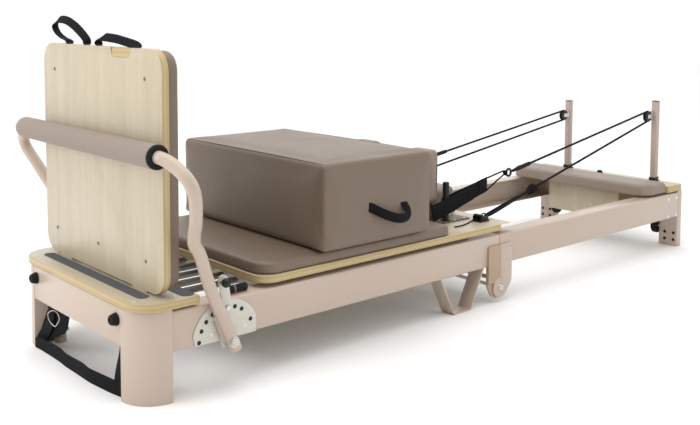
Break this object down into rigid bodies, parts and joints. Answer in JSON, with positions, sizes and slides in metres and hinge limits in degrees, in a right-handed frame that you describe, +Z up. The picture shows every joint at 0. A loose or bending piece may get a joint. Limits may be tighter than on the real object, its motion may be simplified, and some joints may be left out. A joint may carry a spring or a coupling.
{
  "type": "folding pilates reformer",
  "caption": "Folding exercise reformer: rail frame hinged in two halves, sprung sliding carriage, footbar, jump board, rope pulleys and a padded sitting box.",
  "frame": {"origin": "middle of the footprint, on the floor", "axes": "+X from the footbar end to the pulley end, +Y to the far side, +Z up"},
  "size_m": [2.408, 0.9304, 0.8998],
  "materials": {
    "painted_steel": "satin cream-pink powder coat",
    "plywood": "clear satin varnish",
    "upholstery": "matt taupe leatherette",
    "black_rubber": "matt",
    "roller_foam": "matt closed-cell foam",
    "black_plastic": "matt",
    "webbing": "woven",
    "grey_plate": "satin light grey",
    "bare_steel": "satin"
  },
  "bodies": {
    "foot_frame": {"foot_rail_near": "painted_steel", "foot_rail_far": "painted_steel", "column_near": "painted_steel", "column_far": "painted_steel", "foot_beam": "painted_steel", "foot_platform": "plywood", "hinge_yoke": "painted_steel", "hinge_axle": "bare_steel", "sector_plate_near": "grey_plate", "sector_plate_far": "grey_plate", "spring_bar": "black_plastic", "foot_strap": "webbing"},
    "head_frame": {"head_rail_near": "painted_steel", "head_rail_far": "painted_steel", "head_leg_near": "painted_steel", "head_leg_far": "painted_steel", "head_end_beam": "painted_steel", "head_platform": "plywood", "head_pad": "upholstery", "hinge_leaf_near": "painted_steel", "hinge_leaf_far": "painted_steel", "post_near": "painted_steel", "post_far": "painted_steel", "rope_near": "webbing", "rope_far": "webbing"},
    "carriage": {"carriage_board": "plywood", "carriage_pad": "upholstery", "carriage_frame": "grey_plate", "spring_1": "bare_steel", "spring_2": "bare_steel", "spring_3": "bare_steel", "spring_4": "bare_steel", "spring_5": "bare_steel"},
    "shoulder_rest_near_body": {"shoulder_rest_near": "upholstery", "foot_loop_near": "webbing"},
    "shoulder_rest_far_body": {"shoulder_rest_far": "upholstery", "foot_loop_far": "webbing"},
    "headrest_body": {"headrest": "upholstery"},
    "box_body": {"box": "upholstery"},
    "footbar": {"footbar_tube": "painted_steel", "footbar_foam": "roller_foam"},
    "jump_board_body": {"jump_board": "plywood", "jump_pad": "upholstery", "carry_loop_near": "webbing", "carry_loop_far": "webbing"},
    "platform_knob_body": {"platform_knob": "black_plastic"},
    "clamp_knob_near_body": {"clamp_knob_near": "black_plastic"},
    "pulley_bracket_near_body": {"pulley_bracket_near": "black_plastic"},
    "pulley_sheave_near_body": {"pulley_sheave_near": "black_plastic"},
    "transport_wheel_near_body": {"transport_wheel_near": "black_rubber"},
    "lock_pin_near_body": {"lock_pin_near": "black_plastic"},
    "carriage_wheel_foot_near_body": {"carriage_wheel_foot_near": "black_plastic"},
    "carriage_wheel_head_near_body": {"carriage_wheel_head_near": "black_plastic"},
    "clamp_knob_far_body": {"clamp_knob_far": "black_plastic"},
    "pulley_bracket_far_body": {"pulley_bracket_far": "black_plastic"},
    "pulley_sheave_far_body": {"pulley_sheave_far": "black_plastic"},
    "transport_wheel_far_body": {"transport_wheel_far": "black_rubber"},
    "lock_pin_far_body": {"lock_pin_far": "black_plastic"},
    "carriage_wheel_foot_far_body": {"carriage_wheel_foot_far": "black_plastic"},
    "carriage_wheel_head_far_body": {"carriage_wheel_head_far": "black_plastic"}
  },
  "joints": [
    {"name": "fold", "type": "hinge", "parent": "foot_frame", "child": "head_frame", "pos_m": [0.088, 0, 0.048], "axis": [0, 1, 0], "range_deg": [0, 180]},
    {"name": "carriage_slide", "type": "slide", "parent": "foot_frame", "child": "carriage", "axis": [1, 0, 0], "range_m": [0, 0.64], "deforming": ["spring_1", "spring_2", "spring_3", "spring_4", "spring_5", "rope_near", "rope_far"]},
    {"name": "carriage_wheel_foot_near_spin", "type": "hinge", "parent": "carriage", "child": "carriage_wheel_foot_near_body", "pos_m": [-0.766, -0.298, 0.1503], "axis": [0, 1, 0], "range_deg": [-5, 1400]},
    {"name": "carriage_wheel_head_near_spin", "type": "hinge", "parent": "carriage", "child": "carriage_wheel_head_near_body", "pos_m": [-0.006, -0.298, 0.1503], "axis": [0, 1, 0], "range_deg": [-5, 1400]},
    {"name": "carriage_wheel_foot_far_spin", "type": "hinge", "parent": "carriage", "child": "carriage_wheel_foot_far_body", "pos_m": [-0.766, 0.298, 0.1503], "axis": [0, 1, 0], "range_deg": [-5, 1400]},
    {"name": "carriage_wheel_head_far_spin", "type": "hinge", "parent": "carriage", "child": "carriage_wheel_head_far_body", "pos_m": [-0.006, 0.298, 0.1503], "axis": [0, 1, 0], "range_deg": [-5, 1400]},
    {"name": "box_lift", "type": "slide", "parent": "carriage", "child": "box_body", "axis": [0, 0, 1], "range_m": [0, 0.25]},
    {"name": "footbar_swing", "type": "hinge", "parent": "foot_frame", "child": "footbar", "pos_m": [-0.948, 0, 0.12], "axis": [0, 1, 0], "range_deg": [-63.1, 0]},
    {"name": "jump_board_lift", "type": "slide", "parent": "foot_frame", "child": "jump_board_body", "axis": [0, 0, 1], "range_m": [0, 0.12]},
    {"name": "shoulder_rest_near_lift", "type": "slide", "parent": "carriage", "child": "shoulder_rest_near_body", "axis": [0, 0, 1], "range_m": [0, 0.03]},
    {"name": "lock_pin_near_pull", "type": "slide", "parent": "footbar", "child": "lock_pin_near_body", "axis": [0, -1, 0], "range_m": [-0.003, 0.008], "stiffness_N_per_m": 300},
    {"name": "clamp_knob_near_turn", "type": "hinge", "parent": "head_frame", "child": "clamp_knob_near_body", "pos_m": [1.1958, -0.218, 0.256], "axis": [1, 0, 0], "range_deg": [-180, 180]},
    {"name": "pulley_bracket_near_swivel", "type": "hinge", "parent": "head_frame", "child": "pulley_bracket_near_body", "pos_m": [1.1615, -0.211, 0.507], "axis": [0, 0, 1], "range_deg": [-40, 40]},
    {"name": "pulley_sheave_near_spin", "type": "hinge", "parent": "pulley_bracket_near_body", "child": "pulley_sheave_near_body", "pos_m": [1.129, -0.211, 0.507], "axis": [0, 1, 0], "continuous": true},
    {"name": "transport_wheel_near_spin", "type": "hinge", "parent": "head_frame", "child": "transport_wheel_near_body", "pos_m": [1.174, -0.238, 0.072], "axis": [0, 1, 0], "continuous": true},
    {"name": "shoulder_rest_far_lift", "type": "slide", "parent": "carriage", "child": "shoulder_rest_far_body", "axis": [0, 0, 1], "range_m": [0, 0.03]},
    {"name": "lock_pin_far_pull", "type": "slide", "parent": "footbar", "child": "lock_pin_far_body", "axis": [0, 1, 0], "range_m": [-0.003, 0.008], "stiffness_N_per_m": 300},
    {"name": "clamp_knob_far_turn", "type": "hinge", "parent": "head_frame", "child": "clamp_knob_far_body", "pos_m": [1.1958, 0.19, 0.256], "axis": [1, 0, 0], "range_deg": [-180, 180]},
    {"name": "pulley_bracket_far_swivel", "type": "hinge", "parent": "head_frame", "child": "pulley_bracket_far_body", "pos_m": [1.1615, 0.183, 0.479], "axis": [0, 0, 1], "range_deg": [-40, 40]},
    {"name": "pulley_sheave_far_spin", "type": "hinge", "parent": "pulley_bracket_far_body", "child": "pulley_sheave_far_body", "pos_m": [1.129, 0.183, 0.479], "axis": [0, 1, 0], "continuous": true},
    {"name": "transport_wheel_far_spin", "type": "hinge", "parent": "head_frame", "child": "transport_wheel_far_body", "pos_m": [1.174, 0.238, 0.072], "axis": [0, 1, 0], "continuous": true},
    {"name": "platform_knob_turn", "type": "hinge", "parent": "head_frame", "child": "platform_knob_body", "pos_m": [1.154, 0.015, 0.247], "axis": [0, 0, 1], "range_deg": [-180, 180]},
    {"name": "headrest_tilt", "type": "hinge", "parent": "carriage", "child": "headrest_body", "pos_m": [0.006, 0, 0.2474], "axis": [0, -1, 0], "range_deg": [0, 20]}
  ],
  "couplings": [
    {"joint": "carriage_wheel_foot_near_spin", "follows": "carriage_slide", "rad_per_m": 35.714},
    {"joint": "carriage_wheel_head_near_spin", "follows": "carriage_slide", "rad_per_m": 35.714},
    {"joint": "carriage_wheel_foot_far_spin", "follows": "carriage_slide", "rad_per_m": 35.714},
    {"joint": "carriage_wheel_head_far_spin", "follows": "carriage_slide", "rad_per_m": 35.714}
  ]
}
